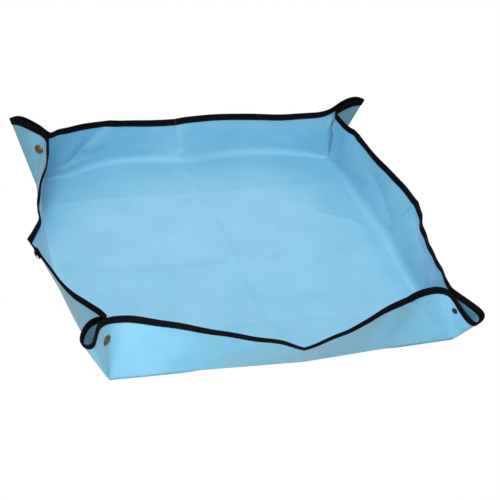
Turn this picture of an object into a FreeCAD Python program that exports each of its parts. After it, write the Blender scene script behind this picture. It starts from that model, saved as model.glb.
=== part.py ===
import FreeCAD, Part
import math
import os
import Sketcher

# Repotting tray: one square sheet of coated cloth with a bound rim. Each corner is pinched and held
# by a press stud, so that the sheet stands up as a shallow tray with four ears. Millimetres, +Z up.
# The origin is the middle of the floor, on the surface that the tray rests on. -Y is the front side.
#
# The sheet is divided along its folds: the floor, a side wall between two corners, and at each corner
# two wall ends and the two layers of the ear, which open when the press stud is undone.

Vector = FreeCAD.Vector
UP = Vector(0, 0, 1)

CORNERS = ("front_left", "front_right", "back_right", "back_left")
SIDES = ("front", "right", "back", "left")
OUTWARD = {"front": Vector(0, -1, 0), "right": Vector(1, 0, 0), "back": Vector(0, 1, 0), "left": Vector(-1, 0, 0)}
ALONG = {"front": Vector(1, 0, 0), "right": Vector(0, 1, 0), "back": Vector(1, 0, 0), "left": Vector(0, 1, 0)}
CORNER_SIGNS = {"front_left": (-1, -1), "front_right": (1, -1), "back_right": (1, 1), "back_left": (-1, 1)}
# The two sides that meet at a corner, and the one whose ear layer carries the cap of the press stud.
MEETING = {"front_left": ("front", "left"), "front_right": ("front", "right"),
           "back_right": ("back", "right"), "back_left": ("back", "left")}
CAP_SIDE = {"front_left": "front", "front_right": "right", "back_right": "back", "back_left": "left"}

SIZES = {
    # cloth, tape and the clearances between pieces
    "sheet_thickness": 0.8,
    "tape_width": 10.0,
    "tape_thickness": 0.6,
    "tape_clearance": 0.25,
    "fold_gap": 0.6,
    "end_gap": 0.4,
    # the flat sheet, and how far inside its edge each base line lies at its corners and its middle
    "sheet_side": 680.0,
    "front_left_inset": 106.0, "front_right_inset": 88.0, "back_right_inset": 96.0, "back_left_inset": 86.0,
    "front_inset": 86.0, "right_inset": 83.0, "back_inset": 59.0, "left_inset": 73.0,
    # the fold in the middle of each side: its place along the base line, how far its top is moved
    # along the side, leans out and stands up
    "front_along": 29.0, "front_slant": -24.0, "front_lean": 51.0, "front_height": 70.0,
    "right_along": 17.0, "right_slant": -31.0, "right_lean": 27.0, "right_height": 80.0,
    "back_along": -7.0, "back_slant": -5.0, "back_lean": 30.0, "back_height": 64.0,
    "left_along": 17.0, "left_slant": -5.0, "left_lean": 34.0, "left_height": 65.0,
    # between that fold and the corner: where the wall end begins, and how far the base line and the
    # rim bow out there and the rim arches up
    "wall_share": 0.68,
    "front_left_front_base_bow": -1.0, "front_left_front_rim_bow": -9.0, "front_left_front_rim_arch": 5.0,
    "front_right_front_base_bow": -1.0, "front_right_front_rim_bow": -8.0, "front_right_front_rim_arch": 5.0,
    "front_right_right_base_bow": -4.0, "front_right_right_rim_bow": -10.0, "front_right_right_rim_arch": 4.0,
    "back_right_right_base_bow": 3.0, "back_right_right_rim_bow": 6.0, "back_right_right_rim_arch": -2.0,
    "back_right_back_base_bow": 2.0, "back_right_back_rim_bow": 5.0, "back_right_back_rim_arch": -7.0,
    "back_left_back_base_bow": 5.0, "back_left_back_rim_bow": 15.0, "back_left_back_rim_arch": 2.0,
    "front_left_left_base_bow": 3.0, "front_left_left_rim_bow": 8.0, "front_left_left_rim_arch": -2.0,
    "back_left_left_base_bow": 2.0, "back_left_left_rim_bow": -3.0, "back_left_left_rim_arch": -6.0,
    # corners: how far inside the flat sheet's edge and how high each pinch point of the rim is, and
    # the ear's direction, reach and rise from there
    "pinch_inset": 102.0,
    "front_left_pinch_height": 106.0, "front_right_pinch_height": 87.0,
    "back_right_pinch_height": 96.0, "back_left_pinch_height": 84.0,
    "front_left_ear_angle": -131.0, "front_left_ear_reach": 60.0, "front_left_ear_rise": -1.0,
    "front_right_ear_angle": -55.0, "front_right_ear_reach": 56.0, "front_right_ear_rise": -27.0,
    "back_right_ear_angle": 24.5, "back_right_ear_reach": 72.5, "back_right_ear_rise": -4.0,
    "back_left_ear_angle": 129.0, "back_left_ear_reach": 78.0, "back_left_ear_rise": 12.0,
    # ear: half of the gap between its layers at the pinch and at the foot, how far each layer bows
    # out, and the half width of the loop at its tip
    "layer_half_gap": 2.9,
    "layer_foot_half_gap": 1.2,
    "ear_bow": 8.5,
    "ear_tip_half_width": 6.5,
    # press stud: place on the ear, and the four pieces with the spring ring
    "stud_drop": 32.0,
    "stud_inset": 8.5,
    "stud_seat": 2.35,
    "cap_radius": 7.5,
    "cap_rise": 2.2,
    "cap_barrel_radius": 1.9,
    "socket_radius": 6.0,
    "socket_mouth_radius": 2.9,
    "spring_wire_radius": 0.25,
    "ball_radius": 2.5,
    "ball_neck_radius": 2.1,
    "stud_radius": 5.5,
    "post_radius": 4.9,
    "post_barrel_radius": 1.4,
    "metal_thickness": 0.6,
    "cloth_clearance": 0.3,
    "metal_clearance": 0.1,
}

# Stations of an ear layer, from the pinch line to the seam: share of the way to the tip, and share
# of the bow. The first strip is flat and holds the press stud.
EAR_BOWS = ((0.0, 0.0), (0.5, 0.0), (0.66, 0.7), (0.8, 1.0), (0.92, 0.8))
EAR_FOOT_SHARE = 0.07


def make_sheet(doc):
    """Spreadsheet with one named cell for each driving dimension."""
    sheet = doc.addObject("Spreadsheet::Sheet", "sizes")
    for row, (alias, value) in enumerate(SIZES.items(), start=1):
        sheet.set(f"A{row}", alias)
        sheet.set(f"B{row}", str(value))
        sheet.setAlias(f"B{row}", alias)
    doc.recompute()
    return sheet


class Tray:
    """Key points of the folded sheet, read from the spreadsheet."""

    def __init__(self, sheet):
        self.sheet = sheet

    def size(self, alias):
        return float(self.sheet.get(alias))

    def half_side(self):
        return self.size("sheet_side") / 2

    def base_corner(self, corner):
        return Vector(*CORNER_SIGNS[corner], 0) * (self.half_side() - self.size(corner + "_inset"))

    def base_middle(self, side):
        out = self.half_side() - self.size(side + "_inset")
        return ALONG[side] * self.size(side + "_along") + OUTWARD[side] * out

    def rim_middle(self, side):
        slant = ALONG[side] * self.size(side + "_slant")
        lean = OUTWARD[side] * self.size(side + "_lean")
        return self.base_middle(side) + slant + lean + UP * self.size(side + "_height")

    def pinch(self, corner):
        level = Vector(*CORNER_SIGNS[corner], 0) * (self.half_side() - self.size("pinch_inset"))
        return level + UP * self.size(corner + "_pinch_height")

    def ear_tip(self, corner):
        angle = math.radians(self.size(corner + "_ear_angle"))
        reach = self.size(corner + "_ear_reach")
        rise = self.size(corner + "_ear_rise")
        return self.pinch(corner) + Vector(reach * math.cos(angle), reach * math.sin(angle), rise)

    def ear_normal(self, corner, side):
        """Unit normal of the ear's middle plane, towards the layer that belongs to a side."""
        base = self.base_corner(corner)
        normal = (self.pinch(corner) - base).cross(self.ear_tip(corner) - base)
        normal.normalize()
        return normal if normal.dot(self.base_middle(side) - base) > 0 else normal * -1

    def layer_pinch(self, corner, side):
        """Top of the pinch line on one layer, half a gap away from the ear's middle plane."""
        return self.pinch(corner) + self.ear_normal(corner, side) * self.size("layer_half_gap")

    def split_base(self, corner, side):
        """Point of the base line where the side wall ends and the corner's wall end begins."""
        middle = self.base_middle(side)
        bow = OUTWARD[side] * self.size(f"{corner}_{side}_base_bow")
        return middle + (self.base_corner(corner) - middle) * self.size("wall_share") + bow

    def split_rim(self, corner, side):
        """Point of the rim above that split."""
        middle = self.rim_middle(side)
        bow = OUTWARD[side] * self.size(f"{corner}_{side}_rim_bow")
        arch = UP * self.size(f"{corner}_{side}_rim_arch")
        return middle + (self.layer_pinch(corner, side) - middle) * self.size("wall_share") + bow + arch


class Station:
    """A cross-section of a strip of cloth: the line from its foot to its rim, and its outer normal."""

    def __init__(self, foot, rim, normal):
        self.foot = foot
        self.rim = rim
        self.normal = normal
        self.up = rim - foot
        self.up.normalize()

    def moved(self, shift):
        return Station(self.foot + shift, self.rim + shift, self.normal)

    def raised(self, height):
        return Station(self.foot + UP * height, self.rim, self.normal)


def unit(vector):
    result = Vector(vector)
    result.normalize()
    return result


def outer_normal(along, up, outward):
    """Unit normal to a direction along the strip and its line upwards, on the outer side."""
    normal = unit(along.cross(up))
    return normal if normal.dot(outward) > 0 else normal * -1


def wire(points):
    return Part.makePolygon(points + [points[0]])


def strip(stations, thickness):
    """Ruled solid of even thickness through the stations, with its inner face on their lines."""
    sections = []
    for at in stations:
        out = at.normal * thickness
        sections.append(wire([at.foot, at.rim, at.rim + out, at.foot + out]))
    return Part.makeLoft(sections, True, True)


def tape(tray, stations):
    """Binding folded over the rim: a U-shaped section, a small clearance away from the cloth."""
    width = tray.size("tape_width")
    near = tray.size("tape_clearance")
    far = near + tray.size("tape_thickness")
    cloth = tray.size("sheet_thickness")
    sections = []
    for at in stations:
        inner_ply, inner_skin = at.normal * -near, at.normal * -far
        outer_ply, outer_skin = at.normal * (cloth + near), at.normal * (cloth + far)
        hem = at.rim - at.up * width
        fold, crest = at.rim + at.up * near, at.rim + at.up * far
        sections.append(wire([hem + inner_ply, fold + inner_ply, fold + outer_ply, hem + outer_ply,
                              hem + outer_skin, crest + outer_skin, crest + inner_skin, hem + inner_skin]))
    return Part.makeLoft(sections, True, True)


def drawn_in(stations, start, end):
    """The same strip with its two ends drawn in along it, to leave a gap to the next piece."""
    first, second = stations[0], stations[1]
    last, before = stations[-1], stations[-2]
    head = unit((second.foot + second.rim) - (first.foot + first.rim)) * start
    tail = unit((before.foot + before.rim) - (last.foot + last.rim)) * end
    return [first.moved(head)] + stations[1:-1] + [last.moved(tail)]


def side_wall_stations(tray, side):
    """Two outer ends and the middle of a side wall, left or front end first."""
    ends = sorted((corner for corner in CORNERS if side in MEETING[corner]),
                  key=lambda corner: tray.base_corner(corner).dot(ALONG[side]))
    lines = [(tray.split_base(ends[0], side), tray.split_rim(ends[0], side)),
             (tray.base_middle(side), tray.rim_middle(side)),
             (tray.split_base(ends[1], side), tray.split_rim(ends[1], side))]
    return [Station(foot, rim, outer_normal(ALONG[side], rim - foot, OUTWARD[side])) for foot, rim in lines]


def wall_end_stations(tray, corner, side):
    """A corner's wall end, from the side wall to the pinch line."""
    inner_foot, inner_rim = tray.split_base(corner, side), tray.split_rim(corner, side)
    base, pinch = tray.base_corner(corner), tray.layer_pinch(corner, side)
    along = base - inner_foot
    return [Station(inner_foot, inner_rim, outer_normal(along, inner_rim - inner_foot, OUTWARD[side])),
            Station(base, pinch, outer_normal(along, pinch - base, OUTWARD[side]))]


def ear_stations(tray, corner, side):
    """One layer of an ear: lines that fan out from the base corner, from the pinch line to the seam."""
    base, pinch, tip = tray.base_corner(corner), tray.pinch(corner), tray.ear_tip(corner)
    normal = tray.ear_normal(corner, side)
    gap, bow = tray.size("layer_half_gap"), tray.size("ear_bow")
    rims = [pinch + (tip - pinch) * share + normal * (gap + bow * bowed) for share, bowed in EAR_BOWS]
    rims.append(tip + normal * tray.size("ear_tip_half_width"))
    stations = []
    for index, rim in enumerate(rims):
        before, after = rims[max(index - 1, 0)], rims[min(index + 1, len(rims) - 1)]
        foot = base + (rim - base) * EAR_FOOT_SHARE + normal * tray.size("layer_foot_half_gap")
        stations.append(Station(foot, rim, outer_normal(after - before, rim - foot, normal)))
    return stations


def fold_setback(tray, corner, side, depth):
    """How far a layer of some depth ends before the pinch line, so that it clears its neighbour."""
    wall = unit(tray.base_middle(side) - tray.base_corner(corner))
    ear = unit(tray.ear_tip(corner) - tray.pinch(corner))
    fold = math.pi - wall.getAngle(ear)
    return depth * math.tan(fold / 2) + tray.size("fold_gap") / 2


def add_shape(doc, name, shape):
    """A document object for one piece of cloth or tape."""
    piece = doc.addObject("Part::Feature", name)
    piece.Label = name
    piece.Shape = shape
    piece.Placement = FreeCAD.Placement()
    return piece


def origin_plane(body, role):
    return next(plane for plane in body.Origin.OriginFeatures if plane.Role == role)


def polygon_sketch(body, name, plane, corners):
    """Closed outline whose corners are bound to expressions: each corner is two expressions."""
    sketch = body.newObject("Sketcher::SketchObject", name)
    sketch.AttachmentSupport = [(origin_plane(body, plane), "")]
    sketch.MapMode = "FlatFace"
    count = len(corners)
    guesses = [Vector(*guess, 0) for guess, _ in corners]
    for index in range(count):
        sketch.addGeometry(Part.LineSegment(guesses[index], guesses[(index + 1) % count]), False)
    for index in range(count):
        sketch.addConstraint(Sketcher.Constraint("Coincident", index, 2, (index + 1) % count, 1))
    for index, (guess, expressions) in enumerate(corners):
        for axis, value, expression in zip("XY", guess, expressions):
            number = sketch.addConstraint(Sketcher.Constraint("Distance" + axis, -1, 1, index, 1, value))
            sketch.renameConstraint(number, f"corner_{index}_{axis}")
            sketch.setExpression(f"Constraints.corner_{index}_{axis}", expression)
    return sketch


def floor_outline():
    """Corners of the floor, as expressions for x and y: each side's base line has a kink in the middle
    and one at each end of the side wall."""
    def across(inset):
        return f"(sizes.sheet_side / 2 - sizes.{inset}_inset)"

    def corner_cells(corner):
        return [f"{sign} * {across(corner)}" for sign in CORNER_SIGNS[corner]]

    def middle_cells(side):
        cells = [f"sizes.{side}_along", f"{int(sum(OUTWARD[side]))} * {across(side)}"]
        return cells if ALONG[side].x else cells[::-1]

    def split_cells(side, corner):
        pairs = zip(middle_cells(side), corner_cells(corner), OUTWARD[side])
        bow = f"sizes.{corner}_{side}_base_bow"
        return [f"{middle} + ({end} - {middle}) * sizes.wall_share + {int(out)} * {bow}"
                for middle, end, out in pairs]

    outline = []
    for corner, side, following in zip(CORNERS, SIDES, CORNERS[1:] + CORNERS[:1]):
        outline += [corner_cells(corner), split_cells(side, corner), middle_cells(side),
                    split_cells(side, following)]
    return outline


def make_floor(doc):
    """Floor of the tray, inside the base lines."""
    body = doc.addObject("PartDesign::Body", "floor")
    body.Label = "floor"
    sizes = doc.getObject("sizes")
    corners = []
    for expressions in floor_outline():
        guess = tuple(float(sizes.evalExpression(text)) for text in expressions)
        corners.append((guess, expressions))
    sketch = polygon_sketch(body, "floor_outline", "XY_Plane", corners)
    pad = body.newObject("PartDesign::Pad", "floor_cloth")
    pad.Profile = sketch
    pad.setExpression("Length", "sizes.sheet_thickness")
    return body


def make_walls(doc, tray):
    """Side walls and wall ends, each with its length of binding tape."""
    cloth, gap, end = tray.size("sheet_thickness"), tray.size("fold_gap"), tray.size("end_gap")
    tape_depth = cloth + tray.size("tape_clearance") + tray.size("tape_thickness")
    pieces = []
    side_tapes = []
    for side in SIDES:
        stations = [at.raised(cloth + gap) for at in side_wall_stations(tray, side)]
        pieces.append(add_shape(doc, f"{side}_wall", strip(stations, cloth)))
        side_tapes.append(tape(tray, stations))
    pieces.append(add_shape(doc, "side_binding", Part.makeCompound(side_tapes)))
    for corner in CORNERS:
        for side in MEETING[corner]:
            name = f"{corner}_{side}"
            stations = [at.raised(cloth + gap) for at in wall_end_stations(tray, corner, side)]
            cut = drawn_in(stations, end, fold_setback(tray, corner, side, cloth))
            pieces.append(add_shape(doc, name + "_wall_end", strip(cut, cloth)))
            cut = drawn_in(stations, end, fold_setback(tray, corner, side, tape_depth))
            pieces.append(add_shape(doc, name + "_wall_end_binding", tape(tray, cut)))
    return pieces


def stud_placement(tray, corner):
    """Middle of the press stud, with +Z from the stud's layer to the cap's layer."""
    base, pinch, tip = tray.base_corner(corner), tray.pinch(corner), tray.ear_tip(corner)
    down = unit(base - pinch)
    across = (tip - pinch) - down * (tip - pinch).dot(down)
    centre = pinch + down * tray.size("stud_drop") + unit(across) * tray.size("stud_inset")
    turn = FreeCAD.Rotation(UP, tray.ear_normal(corner, CAP_SIDE[corner]))
    return FreeCAD.Placement(centre, turn)


def make_ears(doc, tray):
    """The two layers of each ear, with a hole for the press stud, and their binding tape."""
    cloth = tray.size("sheet_thickness")
    tape_depth = cloth + tray.size("tape_clearance") + tray.size("tape_thickness")
    pieces = []
    for corner in CORNERS:
        for side in MEETING[corner]:
            name = f"{corner}_{side}"
            stations = ear_stations(tray, corner, side)
            layer = strip(drawn_in(stations, fold_setback(tray, corner, side, cloth), 0), cloth)
            layer = layer.cut(stud_hole(tray, corner, side))
            pieces.append(add_shape(doc, name + "_ear", layer))
            cut = drawn_in(stations, fold_setback(tray, corner, side, tape_depth), 0)
            pieces.append(add_shape(doc, name + "_ear_binding", tape(tray, cut)))
    return pieces


def stud_hole(tray, corner, side):
    """Cylinder through one ear layer, for the barrel of the cap or of the post."""
    barrel = "cap_barrel_radius" if side == CAP_SIDE[corner] else "post_barrel_radius"
    radius = tray.size(barrel) + tray.size("cloth_clearance")
    depth = 2 * tray.size("stud_seat") + tray.size("sheet_thickness")
    direction = tray.ear_normal(corner, side)
    return Part.makeCylinder(radius, depth, stud_placement(tray, corner).Base, direction)


def turned_body(doc, name, profile, placement):
    """Round piece: a closed half profile of (radius, height) expressions, turned about its Z axis."""
    body = doc.addObject("PartDesign::Body", name)
    body.Label = name
    sizes = doc.getObject("sizes")
    corners = []
    for expressions in profile:
        guess = tuple(float(sizes.evalExpression(text)) for text in expressions)
        corners.append((guess, expressions))
    sketch = polygon_sketch(body, name + "_profile", "XZ_Plane", corners)
    turned = body.newObject("PartDesign::Revolution", name + "_turned")
    turned.Profile = sketch
    turned.ReferenceAxis = (sketch, ["V_Axis"])
    turned.Angle = 360
    body.Placement = placement
    return body


def stud_profiles():
    """Half profiles of the press stud. Height 0 is halfway between the two layers of cloth."""
    seat, cloth, metal = "sizes.stud_seat", "sizes.sheet_thickness", "sizes.metal_thickness"
    loose, free = "sizes.cloth_clearance", "sizes.metal_clearance"
    outer = f"{seat} + {cloth} + {loose}"
    inner = f"({seat} - {loose})"
    shelf = f"{inner} - {metal}"
    mouth, wire_radius = "sizes.socket_mouth_radius", "sizes.spring_wire_radius"
    barrel, sleeve = "sizes.cap_barrel_radius", f"sizes.cap_barrel_radius + {free}"
    groove = f"{mouth} + 2 * {wire_radius} + {free}"
    ring_top, ring_bottom = f"{wire_radius} + {free}", f"-{wire_radius} - {free}"
    lip = f"{metal} - {inner} + {free} + {free}"
    ball, neck, disc = "sizes.ball_radius", "sizes.ball_neck_radius", "sizes.stud_radius"
    pin, bore = "sizes.post_barrel_radius", f"sizes.post_barrel_radius + {free}"
    cap = "sizes.cap_radius"
    rise = "sizes.cap_rise"
    return {
        "cap": ((("0"), f"{shelf} + {free}"), (barrel, f"{shelf} + {free}"), (barrel, outer), (cap, outer),
                (cap, f"{outer} + {metal}"), (f"{cap} * 0.88", f"{outer} + 0.72 * {rise}"),
                (f"{cap} * 0.62", f"{outer} + {rise}"), ("0", f"{outer} + {rise}")),
        "socket": ((sleeve, inner), (sleeve, shelf), (mouth, shelf), (mouth, ring_top), (groove, ring_top),
                   (groove, ring_bottom), (mouth, ring_bottom), (mouth, lip),
                   ("sizes.socket_radius - " + metal, lip), ("sizes.socket_radius", f"{lip} + {metal}"),
                   ("sizes.socket_radius", f"{shelf}"), ("sizes.socket_radius - " + metal, inner)),
        "stud": ((bore, f"-{inner}"), (disc, f"-{inner}"), (disc, f"{metal} - ({inner})"),
                 (neck, f"{metal} - ({inner})"), (neck, f"-{wire_radius}"), (ball, "0"),
                 (ball, f"{wire_radius}"), (f"{neck} - {free}", f"{metal}"), ("0", f"{metal}"),
                 ("0", f"{metal} - {inner} + {free}"), (bore, f"{metal} - {inner} + {free}")),
        "post": (("0", f"-({outer} + {metal})"), ("sizes.post_radius", f"-({outer} + {metal})"),
                 ("sizes.post_radius", f"-({outer})"), (pin, f"-({outer})"), (pin, f"{metal} - {inner}"),
                 ("0", f"{metal} - {inner}")),
    }


def make_spring(doc, tray, name, placement):
    """Spring ring in the groove of the socket: a round wire, open at one side."""
    ring = doc.addObject("Part::Torus", name)
    ring.Label = name
    ring.setExpression("Radius1", "sizes.socket_mouth_radius + sizes.spring_wire_radius")
    ring.setExpression("Radius2", "sizes.spring_wire_radius")
    ring.Angle3 = 330
    ring.Placement = placement
    return ring


def make_press_studs(doc, tray):
    """Cap, socket, spring ring, stud and post at each corner."""
    pieces = []
    for corner in CORNERS:
        placement = stud_placement(tray, corner)
        for piece, profile in stud_profiles().items():
            pieces.append(turned_body(doc, f"{corner}_{piece}", profile, placement))
        pieces.append(make_spring(doc, tray, f"{corner}_spring", placement))
    return pieces


def check(doc, pieces):
    """Stop if an object has failed or a piece isn't a sound solid."""
    for item in doc.Objects:
        if "Invalid" in item.State or "Error" in item.State:
            raise RuntimeError(f"{item.Name} failed: {item.State}")
    for piece in pieces:
        shape = piece.Shape
        if shape.isNull() or not shape.isValid() or not shape.Solids or shape.Volume <= 0:
            raise RuntimeError(f"{piece.Label} has no sound solid")


def build():
    doc = FreeCAD.newDocument("repotting_tray")
    tray = Tray(make_sheet(doc))
    pieces = [make_floor(doc)]
    pieces += make_walls(doc, tray)
    pieces += make_ears(doc, tray)
    pieces += make_press_studs(doc, tray)
    doc.recompute()
    check(doc, pieces)
    return tray, pieces


def write(pieces):
    os.makedirs("parts", exist_ok=True)
    for piece in pieces:
        piece.Shape.exportStep(f"parts/{piece.Label}.step")


def main():
    pieces = build()[1]
    write(pieces)
    print(f"{len(pieces)} pieces")


if __name__ == "__main__":
    main()
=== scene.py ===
import math
import bpy
import numpy as np
from mathutils import Matrix, Vector


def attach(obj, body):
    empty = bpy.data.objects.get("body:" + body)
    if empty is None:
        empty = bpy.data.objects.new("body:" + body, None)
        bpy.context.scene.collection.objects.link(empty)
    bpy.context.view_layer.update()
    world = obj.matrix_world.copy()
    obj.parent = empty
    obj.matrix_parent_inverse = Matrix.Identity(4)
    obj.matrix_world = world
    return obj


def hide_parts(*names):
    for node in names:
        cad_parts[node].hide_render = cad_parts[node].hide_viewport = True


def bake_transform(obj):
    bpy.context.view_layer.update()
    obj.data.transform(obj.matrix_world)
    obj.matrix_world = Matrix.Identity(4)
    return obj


# Repotting tray: a square of coated cloth with a bound rim, pinched into four ears that press studs
# hold. Lengths are in millimetres until a mesh is made, and in metres from then on.

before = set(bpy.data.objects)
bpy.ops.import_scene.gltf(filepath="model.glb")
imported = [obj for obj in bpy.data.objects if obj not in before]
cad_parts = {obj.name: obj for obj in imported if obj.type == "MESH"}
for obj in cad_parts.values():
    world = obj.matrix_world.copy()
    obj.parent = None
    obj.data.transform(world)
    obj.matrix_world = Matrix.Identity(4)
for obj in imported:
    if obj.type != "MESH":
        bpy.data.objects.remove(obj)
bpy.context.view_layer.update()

MM = 0.001
CLOTH = 0.8
# Radius of the fold between floor and wall, at each corner and along the middle of each side.
CORNER_FOLD = {"front_left": 4.0, "front_right": 5.0, "back_right": 9.0, "back_left": 6.0}
SIDE_FOLD = {"front": 5.0, "right": 13.0, "back": 14.0, "left": 8.0}

BASE_CORNER = {"front_left": (-234, -234), "front_right": (252, -252), "back_right": (244, 244),
               "back_left": (-254, 254)}
PINCH = {"front_left": (-236, -235, 108), "front_right": (238, -241, 84), "back_right": (240, 241, 97),
         "back_left": (-232, 248, 94)}
MEETING = {"front_left": ("front", "left"), "front_right": ("front", "right"),
           "back_right": ("back", "right"), "back_left": ("back", "left")}
CAP_SIDE = {"front_left": "front", "front_right": "right", "back_right": "back", "back_left": "left"}
SIDE_CENTRE = {"front": (29, -254), "right": (257, 17), "back": (-7, 278), "left": (-267, 17)}
OUTWARD = {"front": (0, -1, 0), "right": (1, 0, 0), "back": (0, 1, 0), "left": (-1, 0, 0)}

# Base line and rim of each half side, from the fold in the middle of the side towards the corner.
BASE_LINE = {
    ("front", "front_left"): [(-45, -248), (-113, -242), (-181, -238)],
    ("front", "front_right"): [(97, -253), (172, -252), (229, -252)],
    ("right", "front_right"): [(256, -9), (253, -49), (250, -118), (250, -190)],
    ("right", "back_right"): [(255, 48), (253, 110), (251, 173)],
    ("back", "back_right"): [(18, 282), (53, 287), (119, 285), (200, 266)],
    ("back", "back_left"): [(-33, 287), (-74, 295), (-124, 298), (-165, 288), (-204, 268), (-232, 264)],
    ("left", "front_left"): [(-261, -55), (-252, -131)],
    ("left", "back_left"): [(-266, 80), (-262, 160)],
}
RIM_MIDDLE = {"front": (5, -305, 70), "right": (284, -24, 81), "back": (-12, 311, 64),
              "left": (-301, 12, 65)}
RIM_LINE = {
    ("front", "front_left"): [(-20, -294, 78), (-63, -284, 86), (-100, -273, 92), (-124, -265, 96),
                              (-165, -249, 100), (-196, -238, 103), (-217, -234, 105)],
    ("front", "front_right"): [(22, -301, 72), (51, -294, 77), (73, -289, 79), (128, -267, 86),
                               (184, -242, 87), (219, -237, 87)],
    ("right", "front_right"): [(280, -36, 82), (264, -88, 83), (256, -118, 84), (249, -149, 86),
                               (242, -184, 88), (241, -203, 88)],
    ("right", "back_right"): [(276, 61, 83), (268, 94, 85), (261, 142, 88), (257, 168, 89),
                              (256, 180, 91), (251, 186, 93), (246, 209, 94)],
    ("back", "back_right"): [(9, 310, 67), (78, 305, 69), (166, 290, 68), (201, 272, 77), (226, 252, 89)],
    ("back", "back_left"): [(-30, 310, 65), (-105, 303, 73), (-160, 292, 80), (-200, 272, 88),
                            (-221, 257, 93.5)],
    ("left", "front_left"): [(-294, -26, 70), (-288, -49, 74), (-281, -96, 80), (-277, -116, 83),
                             (-267, -157, 91), (-255, -182, 96), (-242, -211, 102)],
    ("left", "back_left"): [(-279, 60, 61), (-274, 95, 63), (-266, 130, 69), (-257, 160, 72),
                            (-245, 190, 74), (-239, 215, 79)],
}
# Ears: direction, reach and rise of the tip from the pinch, the turn of the first part in degrees, and
# for each layer two bows, near the middle and near the tip, and the arch of its rim above a straight line.
EARS = {
    "front_left": (-131.0, 59.0, -3.0, -10.0, {"front": (9.0, 15.0, 0.09), "left": (8.0, 12.0, 0.10)}),
    "front_right": (-55.0, 54.0, -27.0, 0.0, {"front": (8.0, 17.0, -0.05), "right": (8.0, 26.0, 0.05)}),
    "back_right": (24.5, 76.0, -3.0, 0.0, {"back": (1.2, 2.4, 0.11), "right": (1.2, 2.4, 0.06)}),
    "back_left": (129.0, 82.0, -3.0, -12.0, {"back": (3.5, 5.0, 0.13), "left": (2.5, 4.0, 0.10)}),
}
# How softly each wall bends into its ear layer at the rim, and how much of the fold's shift is given back.
BEND = {("front", "front_left"): (9.0, 0.6), ("left", "front_left"): (5.0, 0.8),
        ("front", "front_right"): (8.0, 0.6), ("right", "front_right"): (5.0, 0.8),
        ("back", "back_right"): (7.0, 0.0), ("right", "back_right"): (7.0, 0.0),
        ("back", "back_left"): (6.0, 0.7), ("left", "back_left"): (8.0, 0.6)}
# How far each pleat gapes between its foot and the rim.
PLEAT_GAPE = {"front_left": 0.0, "front_right": 0.5, "back_right": 3.0, "back_left": 1.0}
# Height of the soft waves in each wall.
RIPPLE = {"front": 0.22, "right": 0.6, "back": 0.5, "left": 0.5}
# Folds in the walls: line by share along the half side and share of the height, depth and half width.
# Along a line, distances are taken as if each half wall were this long and this high.
CREASE_LENGTH, CREASE_HEIGHT = 250, 80
WALL_CREASES = {
    ("back", "back_left"): [(((0.80, 0.0), (0.62, 0.5), (0.47, 1.0)), 5.0, 24), (((0, 0), (0, 1)), 3.0, 9)],
    ("back", "back_right"): [(((0, 0), (0, 1)), 3.0, 9)],
    ("right", "back_right"): [(((0.72, 1.0), (0.97, 0.05)), 4.0, 14), (((0.0, 0.1), (0.45, 0.55)), 3.0, 13),
                              (((0, 0), (0, 0.8)), -3.5, 11)],
    ("right", "front_right"): [(((0.08, 0.75), (0.4, 0.62), (0.8, 0.8)), 5.0, 12),
                               (((0, 0), (0, 0.8)), -3.5, 11)],
    ("front", "front_left"): [(((0, 0), (0, 1)), -1.5, 10)],
    ("front", "front_right"): [(((0, 0), (0, 1)), -1.5, 10), (((0.97, 0.02), (0.72, 0.95)), 3.5, 15)],
}
FOLD_ROWS = 7
# Half the gap between an ear's two layers, and the press stud's place below the rim and from the pinch.
HALF_GAP = 2.9
STUD_DROP, STUD_INSET, STUD_SEAT = 32.0, 8.5, 2.35
# Edges bent by more than this angle are marked sharp for shading.
SHARP_EDGE = math.radians(50)


def unit(v):
    v = np.asarray(v, float)
    return v / np.linalg.norm(v, axis=-1, keepdims=True)


def smooth(x):
    """Smoothstep, 3x^2 - 2x^3, with x held between 0 and 1."""
    x = np.clip(x, 0, 1)
    return x * x * (3 - 2 * x)


def spline(points, count):
    """Centripetal Catmull-Rom curve through the points, resampled at equal arc lengths."""
    p = np.asarray(points, float)
    p = np.vstack([2 * p[0] - p[1], p, 2 * p[-1] - p[-2]])
    p0, p1, p2, p3 = p[:-3], p[1:-2], p[2:-1], p[3:]
    t01, t12, t23 = (np.linalg.norm(b - a, axis=1) ** 0.5 for a, b in ((p0, p1), (p1, p2), (p2, p3)))
    t = np.linspace(0, 1, 40, endpoint=False)[None, :, None]
    d01, d12, d23 = t01[:, None, None], t12[:, None, None], t23[:, None, None]
    m1 = (p2 - p1)[:, None] + d12 * ((p1 - p0)[:, None] / d01 - (p2 - p0)[:, None] / (d01 + d12))
    m2 = (p2 - p1)[:, None] + d12 * ((p3 - p2)[:, None] / d23 - (p3 - p1)[:, None] / (d12 + d23))
    a, b = p1[:, None], p2[:, None]
    curve = (2 * t**3 - 3 * t**2 + 1) * a + (t**3 - 2 * t**2 + t) * m1
    curve = curve + (-2 * t**3 + 3 * t**2) * b + (t**3 - t**2) * m2
    line = np.vstack([curve.reshape(-1, p.shape[1]), p[-2]])
    return resample(line, count)


def lengths(line):
    """Length along a line up to each of its points."""
    return np.concatenate([[0], np.cumsum(np.linalg.norm(np.diff(line, axis=0), axis=1))])


def sample(values, run, at):
    """Values known at the lengths run, read at other lengths, straight between neighbours."""
    return np.stack([np.interp(at, run, values[:, k]) for k in range(values.shape[1])], -1)


def resample(line, count):
    run = lengths(line)
    return sample(line, run, np.linspace(0, run[-1], count))


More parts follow.
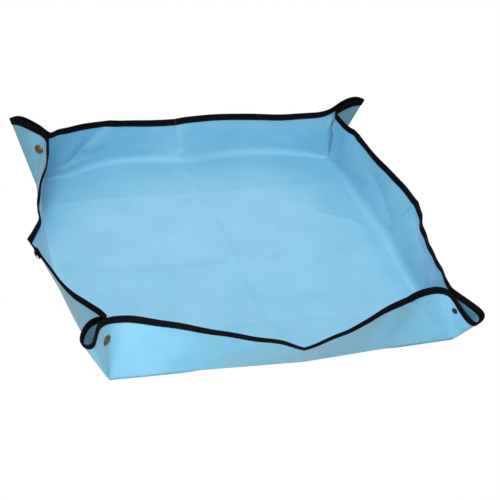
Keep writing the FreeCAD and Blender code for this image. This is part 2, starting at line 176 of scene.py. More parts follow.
def bezier(control, t):
    """Bezier curve of any degree: sum of C(n,k) (1-t)^(n-k) t^k times control point k."""
    control = np.asarray(control, float)
    n = len(control) - 1
    weights = [math.comb(n, k) * (1 - t) ** (n - k) * t**k for k in range(n + 1)]
    return np.stack(weights, -1) @ control


def grid_normals(x):
    """Unit normals of a grid of points, across its first and second direction."""
    du = np.gradient(x, axis=0)
    dv = np.gradient(x, axis=1)
    n = np.cross(du, dv)
    return n / np.maximum(np.linalg.norm(n, axis=2, keepdims=True), 1e-9)


def make_mesh(name, points, faces, uv, material):
    """Mesh in metres from points in millimetres, with an optional UV pair for each point."""
    mesh = bpy.data.meshes.new(name)
    mesh.from_pydata((np.asarray(points) * MM).tolist(), [], np.asarray(faces).tolist())
    mesh.update()
    if uv is not None:
        layer = mesh.uv_layers.new(name="sheet")
        corner = np.empty(len(mesh.loops), np.int32)
        mesh.loops.foreach_get("vertex_index", corner)
        layer.data.foreach_set("uv", (np.asarray(uv, np.float32) * MM)[corner].ravel())
    mesh.shade_smooth()
    mesh.set_sharp_from_angle(angle=SHARP_EDGE)
    obj = bpy.data.objects.new(name, mesh)
    bpy.context.scene.collection.objects.link(obj)
    mesh.materials.append(material)
    return obj


def tube_faces(rings, size):
    """Faces between neighbouring rings of points, numbered ring by ring."""
    index = np.arange(rings * size).reshape(rings, size)
    ahead = np.roll(index, -1, axis=1)
    return np.stack([index[:-1], index[1:], ahead[1:], ahead[:-1]], -1).reshape(-1, 4)


def grid_faces(rows, columns, offset, flip):
    index = np.arange(rows * columns).reshape(rows, columns) + offset
    quads = np.stack([index[:-1, :-1], index[1:, :-1], index[1:, 1:], index[:-1, 1:]], -1).reshape(-1, 4)
    return quads[:, ::-1] if flip else quads


def shell(name, inner, outward, uv):
    """Closed sheet: the inner grid, the same grid moved outwards, and a strip of faces round the edge."""
    rows, columns = inner.shape[:2]
    outer = inner + outward * CLOTH
    points = np.vstack([inner.reshape(-1, 3), outer.reshape(-1, 3)])
    size = rows * columns
    normal = grid_normals(inner)
    flip = float((normal * outward).sum()) > 0
    index = np.arange(size).reshape(rows, columns)
    edge = np.concatenate([index[:, 0], index[-1, 1:], index[-2::-1, -1], index[0, -2:0:-1]])
    ahead = np.roll(edge, -1)
    rim = np.stack([edge, ahead, ahead + size, edge + size], 1)
    faces = np.vstack([grid_faces(rows, columns, 0, flip), grid_faces(rows, columns, size, not flip),
                       rim[:, ::-1] if not flip else rim])
    uvs = np.vstack([uv.reshape(-1, 2)] * 2)
    return make_mesh(name, points, faces, uvs, CLOTH_LOOK)


def ear_frame(corner):
    """Base point, pinch and tip: the three corners of the ear's middle plane."""
    base = np.array(BASE_CORNER[corner] + (0,), float)
    pinch = np.array(PINCH[corner], float)
    angle, reach, rise = EARS[corner][:3]
    tip = pinch + [reach * math.cos(math.radians(angle)), reach * math.sin(math.radians(angle)), rise]
    return base, pinch, tip


def ear_normal(corner, side):
    """Unit normal of the ear's middle plane, towards the given side."""
    base, pinch, tip = ear_frame(corner)
    normal = unit(np.cross(pinch - base, tip - base))
    towards = np.array(SIDE_CENTRE[side] + (0,)) - base
    return normal if normal @ towards > 0 else -normal


def wall_grid(side, corner, columns=90, rows=30):
    """Half a side wall: a rounded fold up from the floor, then straight lines from base to rim.

    The fold is the quadratic Bezier curve from the floor, r inwards, through the base line as its middle
    control point, to r up the wall. Its radius r runs from the side's own to the corner's."""
    pinch = np.array(PINCH[corner], float) + ear_normal(corner, side) * HALF_GAP
    base = spline([SIDE_CENTRE[side]] + BASE_LINE[side, corner] + [BASE_CORNER[corner]], columns)
    base = np.hstack([base, np.full((columns, 1), CLOTH)])
    rim = spline([RIM_MIDDLE[side]] + RIM_LINE[side, corner] + [tuple(pinch)], columns)
    share = np.linspace(0, 1, columns)
    tight = CORNER_FOLD[corner]
    radius = (tight + (SIDE_FOLD[side] - tight) * smooth((1 - share) / 0.3))[:, None]
    inwards = -np.array(OUTWARD[side], float)[None].repeat(columns, 0)
    other = [s for s in MEETING[corner] if s != side][0]
    inwards[-1] -= np.array(OUTWARD[other], float)
    rise = unit(rim - base)
    t = np.linspace(0, 1, FOLD_ROWS)[None, :, None]
    low, top = (base + inwards * radius)[:, None], (base + rise * radius)[:, None]
    turned = (1 - t) ** 2 * low + 2 * t * (1 - t) * base[:, None] + t**2 * top
    up = np.linspace(0, 1, rows)[None, 1:, None]
    plain = top + up * (rim[:, None] - top)
    return np.concatenate([turned, plain], axis=1)


def shares(grid):
    """Each point's share of the way to the corner and of the height, which starts above the fold."""
    up = np.concatenate([np.zeros(FOLD_ROWS), np.linspace(0, 1, grid.shape[1] - FOLD_ROWS + 1)[1:]])
    return np.meshgrid(np.linspace(0, 1, len(grid)), up, indexing="ij")


def ripples(u, v, amount, seed):
    """Soft waves: a sum of six cosines with random directions and phases, faded out at the borders."""
    rng = np.random.default_rng(seed)
    total = np.zeros_like(u)
    for k in range(6):
        a, b = rng.uniform(1.0, 5.0), rng.uniform(-1.2, 1.2)
        total += rng.uniform(0.4, 1.0) * np.cos(2 * math.pi * (a * u + b * v + rng.random()))
    fade = smooth(u / 0.12) * smooth((1 - u) / 0.12) * smooth((v - 0.08) / 0.3)
    return total * fade * amount


def stud_frame(corner):
    """Press stud: direction along the ear, its axis towards the cap, and its centre."""
    base, pinch, tip = ear_frame(corner)
    down = unit(base - pinch)
    flat = unit((tip - pinch) - down * ((tip - pinch) @ down))
    first = ear_normal(corner, MEETING[corner][0])
    turn = math.radians(EARS[corner][3])
    across = math.cos(turn) * flat + math.sin(turn) * first
    axis = math.cos(turn) * first - math.sin(turn) * flat
    if CAP_SIDE[corner] != MEETING[corner][0]:
        axis = -axis
    return across, axis, pinch + down * STUD_DROP + across * STUD_INSET


def sway(share):
    """How far the ear's middle line strays: straight out to 0.3, then a cubic Hermite curve back to 0."""
    h = np.clip((share - 0.3) / 0.7, 0, 1)
    back = 0.3 * (2 * h**3 - 3 * h**2 + 1) + 0.7 * (h**3 - 2 * h**2 + h) - 0.21 * (h**3 - h**2)
    return np.where(share < 0.3, share, back)


def ear_grid(corner, side, fold, columns=44):
    """One layer of an ear: straight lines that fan out from the base point to a looped rim.

    The rim in the ear's plane is the Bezier curve (0,g) (.4,g) (.72,m) (1,n) (1,0), with the share of the
    way from pinch to tip first and the offset from the middle plane second. The middle plane itself sways by
    the tangent of the turn, and the rim's distance from the base point grows by arch times sin(pi s)."""
    base, pinch, tip = ear_frame(corner)
    base = base + [0, 0, CLOTH]
    normal = ear_normal(corner, side)
    middle, end, arch = EARS[corner][4][side]
    control = [(0, HALF_GAP), (0.4, HALF_GAP), (0.72, middle), (1.0, end), (1.0, 0)]
    curve = bezier(control, np.linspace(0, 1, 400))
    reach = np.linalg.norm(tip - pinch)
    curve = resample(curve * [reach, 1], columns) / [reach, 1]
    along, out = curve[:, :1], curve[:, 1:]
    turn = math.tan(math.radians(EARS[corner][3])) * reach * ear_normal(corner, MEETING[corner][0])
    rim = pinch + (tip - pinch) * along + normal * out + turn * sway(along)
    rim = base + (rim - base) * (1 + arch * np.sin(math.pi * along))
    length = np.linalg.norm(fold - base, axis=1) / np.linalg.norm(rim[0] - base)
    up = np.concatenate([[0.0], length])
    return base + (rim - base)[:, None] * up[None, :, None]


def line_distance(x, y, line):
    """Distance from each point to the nearest segment of a polyline."""
    best = np.full(x.shape, 1e9)
    for (ax, ay), (bx, by) in zip(line[:-1], line[1:]):
        dx, dy = bx - ax, by - ay
        t = np.clip(((x - ax) * dx + (y - ay) * dy) / (dx * dx + dy * dy), 0, 1)
        best = np.minimum(best, np.hypot(x - ax - t * dx, y - ay - t * dy))
    return best


def wall_creases(key, u, v):
    """Folds in a half wall: depth times exp(-d/w), with d the distance from the fold's line."""
    depth = np.zeros_like(u)
    for line, amount, width in WALL_CREASES.get(key, []):
        line = [(CREASE_LENGTH * a, CREASE_HEIGHT * b) for a, b in line]
        depth += amount * np.exp(-line_distance(CREASE_LENGTH * u, CREASE_HEIGHT * v, line) / width)
    return depth * smooth((1 - u) / 0.1) * smooth(v / 0.15 + 0.1)


def soften(wall, ear, width, given_back, stud, gape):
    """Rounds the fold between a wall and its ear layer, and keeps the cloth flat under the press stud.

    Each row is averaged along its length with a Gaussian whose width grows up the fold, near the fold only.
    A share of the fold's own shift is then taken off again, fading out as a Gaussian 2.5 times as wide.
    The vector gape opens the pleat between its foot and the rim, as the sine of pi s to the power 0.6."""
    strip = np.concatenate([wall[:, FOLD_ROWS - 1:], ear[1:, 1:]])
    fold = len(wall) - 1
    step = np.linalg.norm(np.diff(strip, axis=0), axis=2)
    run = np.concatenate([np.zeros((1, strip.shape[1])), np.cumsum(step, 0)])
    run = run - run[fold]
    sigma = 1.5 + (width - 1.5) * np.linspace(0, 1, strip.shape[1])
    weight = np.exp(-((run[:, None] - run[None]) / sigma) ** 2 / 2) * np.gradient(run, axis=0)[None]
    mean = np.einsum("ijk,jkc->ikc", weight / weight.sum(1, keepdims=True), strip)
    clear = smooth((np.linalg.norm(strip - stud, axis=2) - 8) / 9)
    near = smooth(1.25 - np.abs(run) / (3.2 * sigma)) * clear
    shift = (mean - strip) * near[..., None]
    strip = strip + shift - given_back * shift[fold] * np.exp(-(run / (2.5 * sigma)) ** 2)[..., None]
    rise = np.sin(math.pi * np.linspace(0, 1, strip.shape[1])) ** 0.6
    strip = strip + (np.exp(-(run / 9) ** 2) * clear * rise)[..., None] * gape
    wall[:, FOLD_ROWS - 1:] = strip[:fold + 1]
    ear[:, 1:] = strip[fold:]
    return grid_normals(strip)[fold]


# ------------------------------------------------------------------ sheet

def outward_normals(grid, towards):
    normal = grid_normals(grid)
    flip = np.sign((normal[:, -6:] @ np.asarray(towards, float)).sum())
    return normal * flip


def mitre(a, b):
    """Shared edge normal of two strips: their bisector, lengthened by 1/cos of half the angle."""
    middle = unit(a + b)
    stretch = np.clip((middle * a).sum(-1, keepdims=True), 0.55, 1)
    return middle / stretch


WALLS, NORMALS, EARS_IN, EAR_NORMALS = {}, {}, {}, {}
for side, corner in BASE_LINE:
    grid = wall_grid(side, corner)
    u, v = shares(grid)
    wave = ripples(u, v, RIPPLE[side], sum(map(ord, side + corner))) + wall_creases((side, corner), u, v)
    wall = grid + outward_normals(grid, OUTWARD[side]) * wave[..., None]
    ear = ear_grid(corner, side, grid[-1, FOLD_ROWS - 1:])
    stud = stud_frame(corner)[2]
    gape = ear_normal(corner, side) * PLEAT_GAPE[corner]
    shared = soften(wall, ear, *BEND[side, corner], stud, gape)
    WALLS[side, corner] = wall
    EARS_IN[corner, side] = ear
    NORMALS[side, corner] = outward_normals(wall, OUTWARD[side])
    EAR_NORMALS[corner, side] = outward_normals(ear, ear_normal(corner, side))
    shared = shared * np.sign((shared * EAR_NORMALS[corner, side][0, 1:]).sum())
    NORMALS[side, corner][-1, FOLD_ROWS - 1:] = shared
    EAR_NORMALS[corner, side][0, 1:] = shared
    EAR_NORMALS[corner, side][:, 0] = EAR_NORMALS[corner, side][:, 1]

for side in SIDE_CENTRE:
    first, second = [key for key in BASE_LINE if key[0] == side]
    shared = mitre(NORMALS[first][0], NORMALS[second][0])
    NORMALS[first][0] = shared
    NORMALS[second][0] = shared
for key in BASE_LINE:
    NORMALS[key][:, 0] = (0, 0, -1)


def under_fold(side, corner):
    """Edge of the floor. Towards the corner it runs on under the rounded fold, up to the base line.

    The base line is the middle control point of the fold's curve: twice the point half way along the
    curve, less the mean of its two ends."""
    grid = WALLS[side, corner]
    share = np.linspace(0, 1, len(grid))[:, None]
    base = 2 * grid[:, FOLD_ROWS // 2] - (grid[:, 0] + grid[:, FOLD_ROWS - 1]) / 2
    return grid[:, 0] + (base - grid[:, 0]) * [1, 1, 0] * smooth((share - 0.4) / 0.25)


def floor_grid(count=179):
    """Coons patch between the four edges: ruled both ways, less the bilinear patch of the corners."""
    def edge(side, start, end):
        first = under_fold(side, start)[::-1]
        return np.vstack([first, under_fold(side, end)[1:]])
    front, back = edge("front", "front_left", "front_right"), edge("back", "back_left", "back_right")
    left, right = edge("left", "front_left", "back_left"), edge("right", "front_right", "back_right")
    u = np.linspace(0, 1, count)[:, None, None]
    v = np.linspace(0, 1, count)[None, :, None]
    ruled = (1 - v) * front[:, None] + v * back[:, None] + (1 - u) * left[None] + u * right[None]
    near = (1 - u) * front[0] + u * front[-1]
    far = (1 - u) * back[0] + u * back[-1]
    return ruled - (1 - v) * near - v * far


# Packing folds in the floor: line, height and half width of the raised cloth along it.
CREASES = [
    (((-7, 278), (-4, 231), (-3, 169), (-1, 129), (2, 20), (-3, -99), (3, -160), (29, -251)), 2.6, 10),
    (((-266, 20), (-231, 18), (-126, -5), (0, -8), (122, -12), (188, -19), (255, -13)), 2.2, 9),
    (((-262, 180), (-205, 186), (-147, 186), (-5, 176), (120, 172), (250, 165)), 2.2, 16),
    (((-255, -150), (-82, -160), (6, -160), (145, -177), (250, -185)), 1.6, 12),
    (((170, 88), (217, 51), (237, 27), (257, 6)), 2.6, 13),
]


def floor_heights(grid):
    """Raised folds h*exp(-d/w) and a slow swell, brought down to nothing at the base lines."""
    x, y = grid[..., 0], grid[..., 1]
    height = np.zeros_like(x)
    for line, rise, width in CREASES:
        line = [tuple(p) for p in resample(spline(line, 60), 24)]
        height = np.maximum(height, rise * np.exp(-line_distance(x, y, line) / width))
    swell = 0.5 + 0.5 * np.cos(x / 47 + 1.3 * np.sin(y / 83)) * np.cos(y / 59 + 0.9 * np.sin(x / 71))
    height = height + 0.9 * swell
    count = len(grid)
    border = np.minimum(np.arange(count), np.arange(count)[::-1])
    fade = smooth(np.minimum(border[:, None], border[None, :]) / 9)
    return height * fade


def view_camera():
    """Camera at the photo's angle: turned, tilted down, rolled, and set back from its target."""
    azimuth, elevation, roll, distance = 0.34699, 0.61690, 0.089403, 1.8541
    sensor, focal_length_in_widths = 36, 1216.41 / 500
    target = np.array([0.03344, 0.01139, 0.0])
    forward = np.array([math.sin(azimuth) * math.cos(elevation), math.cos(azimuth) * math.cos(elevation),
                        -math.sin(elevation)])
    right = np.array([math.cos(azimuth), -math.sin(azimuth), 0])
    up = np.cross(right, forward)
    right, up = (math.cos(roll) * right + math.sin(roll) * up, math.cos(roll) * up - math.sin(roll) * right)
    place = target - distance * forward
    data = bpy.data.cameras.new("camera")
    data.lens = focal_length_in_widths * sensor
    data.sensor_width = sensor
    data.clip_start, data.clip_end = 0.05, 50
    camera = bpy.data.objects.new("camera", data)
    rows = [[right[k], up[k], -forward[k], place[k]] for k in range(3)]
    camera.matrix_world = Matrix(rows + [[0, 0, 0, 1]])
    bpy.context.scene.collection.objects.link(camera)
    bpy.context.scene.camera = camera


# ------------------------------------------------------------------ materials

class Shader:
    """Small helper to add nodes and links to a material."""

    def __init__(self, name):
        self.material = bpy.data.materials.new(name)
        self.material.use_nodes = True
        self.tree = self.material.node_tree
        self.surface = self.tree.nodes["Principled BSDF"]

    def add(self, kind, **settings):
        node = self.tree.nodes.new(kind)
        for key, value in settings.items():
            if hasattr(node, key):
                setattr(node, key, value)
            else:
                node.inputs[key.replace("_", " ")].default_value = value
        return node

    def link(self, out, into):
        self.tree.links.new(out, into)

    def value(self, name, amount):
        self.surface.inputs[name].default_value = amount


def cloth_material():
    """Coated woven cloth: satin blue in faint random blotches of tone, with a fine weave, a fine grain and a
    soft sheen.
    """
    s = Shader("cloth")
    uv = s.add("ShaderNodeUVMap", uv_map="sheet")
    place = s.add("ShaderNodeTexCoord")
    cloud = s.add("ShaderNodeTexNoise", Scale=14.0, Detail=5.0, Roughness=0.55)
    s.link(place.outputs["Object"], cloud.inputs["Vector"])
    tint = s.add("ShaderNodeValToRGB")
    tint.color_ramp.elements[0].position, tint.color_ramp.elements[1].position = 0.3, 0.72
    tint.color_ramp.elements[0].color = (0.166, 0.458, 0.655, 1)
    tint.color_ramp.elements[1].color = (0.208, 0.512, 0.700, 1)
    s.link(cloud.outputs["Fac"], tint.inputs["Fac"])
    s.link(tint.outputs["Color"], s.surface.inputs["Base Color"])
    weave = s.add("ShaderNodeTexBrick", Scale=1.0, Mortar_Size=0.00012,
                  Brick_Width=0.0016, Row_Height=0.0008)
    s.link(uv.outputs["UV"], weave.inputs["Vector"])
    grain = s.add("ShaderNodeTexNoise", Scale=220.0, Detail=3.0)
    s.link(place.outputs["Object"], grain.inputs["Vector"])
    first = s.add("ShaderNodeBump", Strength=0.12, Distance=0.0002)
    s.link(weave.outputs["Fac"], first.inputs["Height"])
    second = s.add("ShaderNodeBump", Strength=0.25, Distance=0.0006)
    s.link(grain.outputs["Fac"], second.inputs["Height"])
    s.link(first.outputs["Normal"], second.inputs["Normal"])
    s.link(second.outputs["Normal"], s.surface.inputs["Normal"])
    s.value("Roughness", 0.42)
    s.value("Specular IOR Level", 0.45)
    s.value("Sheen Weight", 0.22)
    s.value("Sheen Roughness", 0.4)
    return s.material


def tape_material():
    """Black woven tape with a fine rib across it."""
    s = Shader("tape")
    uv = s.add("ShaderNodeUVMap", uv_map="sheet")
    rib = s.add("ShaderNodeTexWave", wave_type="BANDS", bands_direction="X", Scale=300.0, Distortion=0.0)
    s.link(uv.outputs["UV"], rib.inputs["Vector"])
    bump = s.add("ShaderNodeBump", Strength=0.35, Distance=0.00025)
    s.link(rib.outputs["Fac"], bump.inputs["Height"])
    s.link(bump.outputs["Normal"], s.surface.inputs["Normal"])
    s.value("Base Color", (0.004, 0.004, 0.006, 1))
    s.value("Roughness", 0.8)
    s.value("Specular IOR Level", 0.05)
    return s.material


def thread_material():
    s = Shader("thread")
    s.value("Base Color", (0.008, 0.008, 0.01, 1))
    s.value("Roughness", 0.6)
    s.value("Specular IOR Level", 0.25)
    return s.material


def metal_material(name, colour, roughness):
    """Metal with worn patches: noise mixes two tones and two roughnesses."""
    s = Shader(name)
    place = s.add("ShaderNodeTexCoord")
    wear = s.add("ShaderNodeTexNoise", Scale=260.0, Detail=6.0, Roughness=0.6)
    s.link(place.outputs["Object"], wear.inputs["Vector"])
    tint = s.add("ShaderNodeValToRGB")
    tint.color_ramp.elements[0].position, tint.color_ramp.elements[1].position = 0.35, 0.7
    tint.color_ramp.elements[0].color = tuple(0.62 * c for c in colour) + (1,)
    tint.color_ramp.elements[1].color = tuple(colour) + (1,)
    s.link(wear.outputs["Fac"], tint.inputs["Fac"])
    s.link(tint.outputs["Color"], s.surface.inputs["Base Color"])
    level = s.add("ShaderNodeMapRange")
    level.inputs["To Min"].default_value = roughness + 0.12
    level.inputs["To Max"].default_value = roughness - 0.08
    s.link(wear.outputs["Fac"], level.inputs["Value"])
    s.link(level.outputs["Result"], s.surface.inputs["Roughness"])
    s.value("Metallic", 1.0)
    return s.material


CLOTH_LOOK = cloth_material()
TAPE_LOOK = tape_material()
THREAD_LOOK = thread_material()
BRASS_LOOK = metal_material("brass", (0.33, 0.25, 0.14), 0.38)
DARK_LOOK = metal_material("dark_brass", (0.10, 0.08, 0.06), 0.5)
STEEL_LOOK = metal_material("spring_wire", (0.62, 0.62, 0.63), 0.3)


# ------------------------------------------------------------------ binding

# Section of the tape: up across it from the rim, then outwards. Its seam lies on both outer faces, and its two
# ends meet at the lap.
SEAM_DEPTH = 8.4
SEAM_FACES = ((-0.75, -1.0), (1.55, 1.0))
LAP_PLACE = (-294, -26, 70)
TAPE_PROFILE = np.array([
    (-10.0, -0.75), (-6.0, -0.76), (-2.0, -0.76), (-0.3, -0.74), (0.45, -0.5), (0.85, 0.0), (0.95, 0.4),
    (0.85, 0.8), (0.45, 1.3), (-0.3, 1.54), (-2.0, 1.56), (-6.0, 1.56), (-10.0, 1.55),
    (-10.0, 0.95), (-4.0, 0.95), (0.1, 0.94), (0.35, 0.4), (0.1, -0.14), (-4.0, -0.15), (-10.0, -0.15)])


def rim_frame(grid, normal):
    """Rim points, the direction up across the tape and the outward direction, at each column."""
    rim = grid[:, -1]
    return rim, unit(rim - grid[:, -5]), normal[:, -1]


def swept(rim, up, out, section):
    """Closed section carried along the rim: points, faces with both end caps, and lengths as UV."""
    count, size = len(rim), len(section)
    points = rim[:, None] + up[:, None] * section[None, :, :1] + out[:, None] * section[None, :, 1:]
    inner = np.array([(k, k + 1, size - 2 - k, size - 1 - k) for k in range(size // 2 - 1)])
    caps = np.vstack([inner, inner[:, ::-1] + (count - 1) * size])
    uv = np.stack(np.meshgrid(lengths(rim), lengths(section), indexing="ij"), -1).reshape(-1, 2)
    return points.reshape(-1, 3), np.vstack([tube_faces(count, size), caps]), uv


def tape_mesh(name, rim, up, out):
    """Tape folded over the rim, with its seam."""
    flat, faces, uv = swept(rim, up, out, TAPE_PROFILE)
    threads, thread_faces = stitches(rim, up, out)
    obj = make_mesh(name, np.vstack([flat, threads]), np.vstack([faces, thread_faces + len(flat)]),
                    np.vstack([uv, np.zeros((len(threads), 2))]), TAPE_LOOK)
    obj.data.materials.append(THREAD_LOOK)
    kind = np.zeros(len(obj.data.polygons), np.int32)
    kind[len(faces):] = 1
    obj.data.polygons.foreach_set("material_index", kind)
    return obj


def tape_lap(name, rim, up, out, place, length=13.0, tail=8.0):
    """Where the tape's two ends meet: one folded over the other, with a tail that hangs out."""
    run = lengths(rim)
    at = run[np.argmin(np.linalg.norm(rim - place, axis=1))] + np.linspace(-0.5, 0.5, 17) * length
    line, rise, side = sample(rim, run, at), unit(sample(up, run, at)), unit(sample(out, run, at))
    swell = (1.05 + 0.45 * np.sin(math.pi * np.linspace(0, 1, 17)) ** 0.5)[:, None]
    section = (TAPE_PROFILE - [0, 0.4]) * [1.0, 1.75]
    flat, faces, uv = swept(line + rise * 1.1 + side * 0.4, rise * swell, side * swell, section)
    along = unit(line[-1] - line[0])
    droop = [line[3] + side[3] * 1.5 - rise[3] * 5,
             line[2] + side[2] * 4 - rise[2] * 6.5,
             line[1] + side[1] * 5.5 - rise[1] * 8 - along * 1.5,
             line[0] + side[0] * 5 - rise[0] * (8 + tail)]
    path = bezier(droop, np.linspace(0, 1, 9))
    width = unit(np.cross(np.gradient(path, axis=0), side[0]))
    strip = np.array([(-3.2, -0.35), (-2.0, -0.35), (2.0, -0.35), (3.2, -0.35), (3.2, 0.35), (2.0, 0.35),
                      (-2.0, 0.35), (-3.2, 0.35)])
    end, end_faces, end_uv = swept(path, width, np.cross(width, unit(np.gradient(path, axis=0))), strip)
    return make_mesh(name, np.vstack([flat, end]), np.vstack([faces, end_faces + len(flat)]),
                     np.vstack([uv, end_uv]), TAPE_LOOK)


def stitches(rim, up, out, pitch=3.8, length=3.0, radius=0.24):
    """Seam along both faces of the tape: a short thread every few millimetres, sunk at its ends."""
    run = lengths(rim)
    starts = np.arange(pitch / 2, run[-1] - length, pitch)
    lengthwise = np.linspace(0, 1, 5)
    at = starts[:, None] + lengthwise[None] * length
    lift = 0.24 * np.sin(math.pi * lengthwise) ** 0.6 - 0.12
    centre, rise, side = sample(rim, run, at), sample(up, run, at), sample(out, run, at)
    third = unit(np.cross(unit(np.gradient(centre, axis=1)), side))
    ring = np.linspace(0, 2 * math.pi, 6, endpoint=False)[None, None, :, None]
    around = (side[:, :, None] * np.cos(ring) + third[:, :, None] * np.sin(ring)) * radius
    points = []
    for face_level, direction in SEAM_FACES:
        middle = centre - rise * SEAM_DEPTH + side * (face_level + direction * lift)[None, :, None]
        points.append((middle[:, :, None] + around).reshape(-1, 3))
    first = np.arange(2 * len(starts))[:, None, None] * 5 * 6
    return np.vstack(points), (tube_faces(5, 6)[None] + first).reshape(-1, 4)


# ------------------------------------------------------------------ press studs

def on_stud(points, corner):
    """Points with the press stud's axis as their third direction, carried to that stud."""
    across, axis, centre = stud_frame(corner)
    return points.reshape(-1, 3) @ np.stack([across, np.cross(axis, across), axis]) + centre


def lathe(name, profile, material, corner, steps=48):
    """Round piece: the profile of (radius, height) turned about the press stud's axis."""
    profile = np.asarray(profile, float)
    angle = np.linspace(0, 2 * math.pi, steps, endpoint=False)
    ring = np.stack([np.cos(angle), np.sin(angle)], 1)
    level = np.tile(profile[:, None, 1:], (1, steps, 1))
    points = np.concatenate([profile[:, None, :1] * ring[None], level], -1)
    return make_mesh(name, on_stud(points, corner), tube_faces(len(profile), steps), None, material)


def rounded(points, radius=0.15, steps=4):
    """Profile with each inner corner replaced by a short quadratic curve."""
    p = np.asarray(points, float)
    out = [p[0]]
    for before, at, after in zip(p[:-2], p[1:-1], p[2:]):
        r = min(radius, 0.45 * np.linalg.norm(at - before), 0.45 * np.linalg.norm(after - at))
        a, b = at + unit(before - at) * r, at + unit(after - at) * r
        out.extend(bezier([a, at, b], np.linspace(0, 1, steps)))
    out.append(p[-1])
    return np.array(out)


INNER, OUTER = STUD_SEAT - 0.3, STUD_SEAT + CLOTH + 0.3
STUD_PROFILES = {
    "cap": [(0, 1.55), (1.9, 1.55), (1.9, OUTER), (7.1, OUTER), (7.5, OUTER + 0.25), (7.5, OUTER + 0.6),
            (7.1, OUTER + 0.95), (6.3, OUTER + 1.3), (5.9, OUTER + 1.28), (5.2, OUTER + 1.72),
            (3.4, OUTER + 2.05), (1.6, OUTER + 2.18), (0, OUTER + 2.2)],
    "socket": [(2.0, INNER), (2.0, INNER - 0.6), (2.9, INNER - 0.6), (2.9, 0.35), (3.5, 0.35), (3.5, -0.35),
               (2.9, -0.35), (2.9, 0.8 - INNER), (5.4, 0.8 - INNER), (6.0, 1.4 - INNER), (6.0, INNER - 0.6),
               (5.4, INNER), (2.0, INNER)],
    "stud": [(1.5, -INNER), (5.5, -INNER), (5.5, 0.6 - INNER), (2.1, 0.6 - INNER), (2.1, -0.25), (2.5, 0),
             (2.5, 0.25), (2.0, 0.6), (0, 0.6)],
    "post": [(0, -OUTER - 0.15), (2.2, -OUTER - 0.15), (2.6, -OUTER - 0.62), (4.0, -OUTER - 0.6),
             (4.6, -OUTER - 0.3), (4.6, -OUTER), (1.4, -OUTER), (1.4, 0.6 - INNER), (0, 0.6 - INNER)],
}


def spring_mesh(name, corner):
    """Wire ring with a gap: a circle of section 0.25 swept 330 degrees round the stud's axis."""
    turn = np.radians(np.linspace(0, 330, 56))[:, None]
    ring = np.linspace(0, 2 * math.pi, 10, endpoint=False)[None]
    radius = 3.15 + 0.25 * np.cos(ring)
    tube = np.stack([radius * np.cos(turn), radius * np.sin(turn), 0.25 * np.sin(ring) + 0 * turn], -1)
    return make_mesh(name, on_stud(tube, corner), tube_faces(56, 10), None, STEEL_LOOK)


# ------------------------------------------------------------------ build


def flat_uv(grid):
    """Lengths along and up the cloth, in millimetres, as a pair for each point."""
    return np.stack(np.meshgrid(lengths(grid[:, -1]), lengths(grid[0]), indexing="ij"), -1)


floor = floor_grid()
floor[..., 2] = CLOTH + floor_heights(floor)
floor_obj = shell("floor_cloth", floor, np.zeros_like(floor) - [0, 0, 1], floor[..., :2])
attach(floor_obj, "root")
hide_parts("floor")

for (side, corner), grid in WALLS.items():
    normal = NORMALS[side, corner]
    body = f"{corner}_{side}_wall_end"
    name = f"{side}_wall_to_{corner}"
    wall = shell(name + "_cloth", grid, normal, flat_uv(grid))
    rim, up, out = rim_frame(grid, normal)
    tape = tape_mesh(name + "_binding", rim, up, out)
    for obj, nodes in ((wall, [f"{side}_wall", body]), (tape, ["side_binding", body + "_binding"])):
        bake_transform(obj)
        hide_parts(*nodes)

key = ("left", "front_left")
lap = tape_lap("binding_lap", *rim_frame(WALLS[key], NORMALS[key]), LAP_PLACE)
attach(lap, "root")

for (corner, side), grid in EARS_IN.items():
    normal = EAR_NORMALS[corner, side]
    wall_body, body = f"{corner}_{side}_wall_end", f"{corner}_{side}_ear"
    ear = shell(body + "_cloth", grid, normal, flat_uv(grid))
    rim, up, out = rim_frame(grid, normal)
    tape = tape_mesh(body + "_tape", rim, up, out)
    base, pinch, tip = ear_frame(corner)
    for obj, node in ((ear, body), (tape, body + "_binding")):
        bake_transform(obj)
        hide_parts(node)

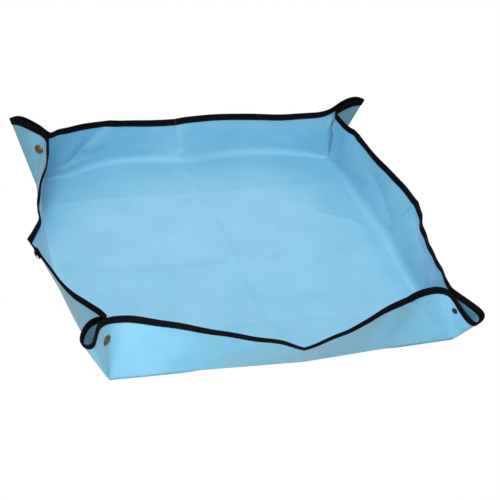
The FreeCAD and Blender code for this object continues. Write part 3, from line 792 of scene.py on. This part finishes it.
for corner, cap_side in CAP_SIDE.items():
    other = [s for s in MEETING[corner] if s != cap_side][0]
    for part, profile in STUD_PROFILES.items():
        body = f"{corner}_{cap_side if part in ('cap', 'socket') else other}_ear"
        look = DARK_LOOK if part == "post" else BRASS_LOOK
        obj = lathe(f"{corner}_{part}_metal", rounded(profile), look, corner)
        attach(obj, body)
        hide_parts(f"{corner}_{part}")
    spring = spring_mesh(f"{corner}_spring_wire", corner)
    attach(spring, f"{corner}_{cap_side}_ear")
    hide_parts(f"{corner}_spring")


# ------------------------------------------------------------------ light and camera

def area_light(name, place, size, power):
    data = bpy.data.lights.new(name, "AREA")
    data.shape, data.size = "DISK", size
    data.energy = power
    light = bpy.data.objects.new(name, data)
    light.location = place
    light.rotation_euler = (Vector((0, 0, 0)) - Vector(place)).to_track_quat("-Z", "Y").to_euler()
    bpy.context.scene.collection.objects.link(light)


def white_world(level):
    """Soft white light all round. Seen directly, or through glass, the backdrop is plain white."""
    world = bpy.data.worlds.new("studio")
    bpy.context.scene.world = world
    world.use_nodes = True
    tree = world.node_tree
    soft = tree.nodes["Background"]
    soft.inputs["Strength"].default_value = level
    soft.inputs["Color"].default_value = (1, 1, 1, 1)
    plain = tree.nodes.new("ShaderNodeBackground")
    plain.inputs["Color"].default_value = (1, 1, 1, 1)
    plain.inputs["Strength"].default_value = 1.0
    path = tree.nodes.new("ShaderNodeLightPath")
    mix = tree.nodes.new("ShaderNodeMixShader")
    tree.links.new(path.outputs["Is Camera Ray"], mix.inputs["Fac"])
    tree.links.new(soft.outputs["Background"], mix.inputs[1])
    tree.links.new(plain.outputs["Background"], mix.inputs[2])
    tree.links.new(mix.outputs["Shader"], tree.nodes["World Output"].inputs["Surface"])


view_camera()
white_world(0.31)
area_light("top", (0, 0, 2.4), 1.5, 23)
area_light("back", (0.5, 1.9, 1.4), 1.6, 13)
area_light("front", (-0.55, -0.95, 1.5), 1.0, 13)
area_light("front_left", (-1.3, -1.7, 0.9), 1.0, 4)
area_light("near_left", (-0.8, -0.95, 0.3), 0.5, 3.0)
area_light("table_bounce", (-0.2, -0.95, 0.04), 0.5, 3.2)

bpy.context.scene.view_settings.view_transform = "Standard"
bpy.context.scene.view_settings.look = "None"
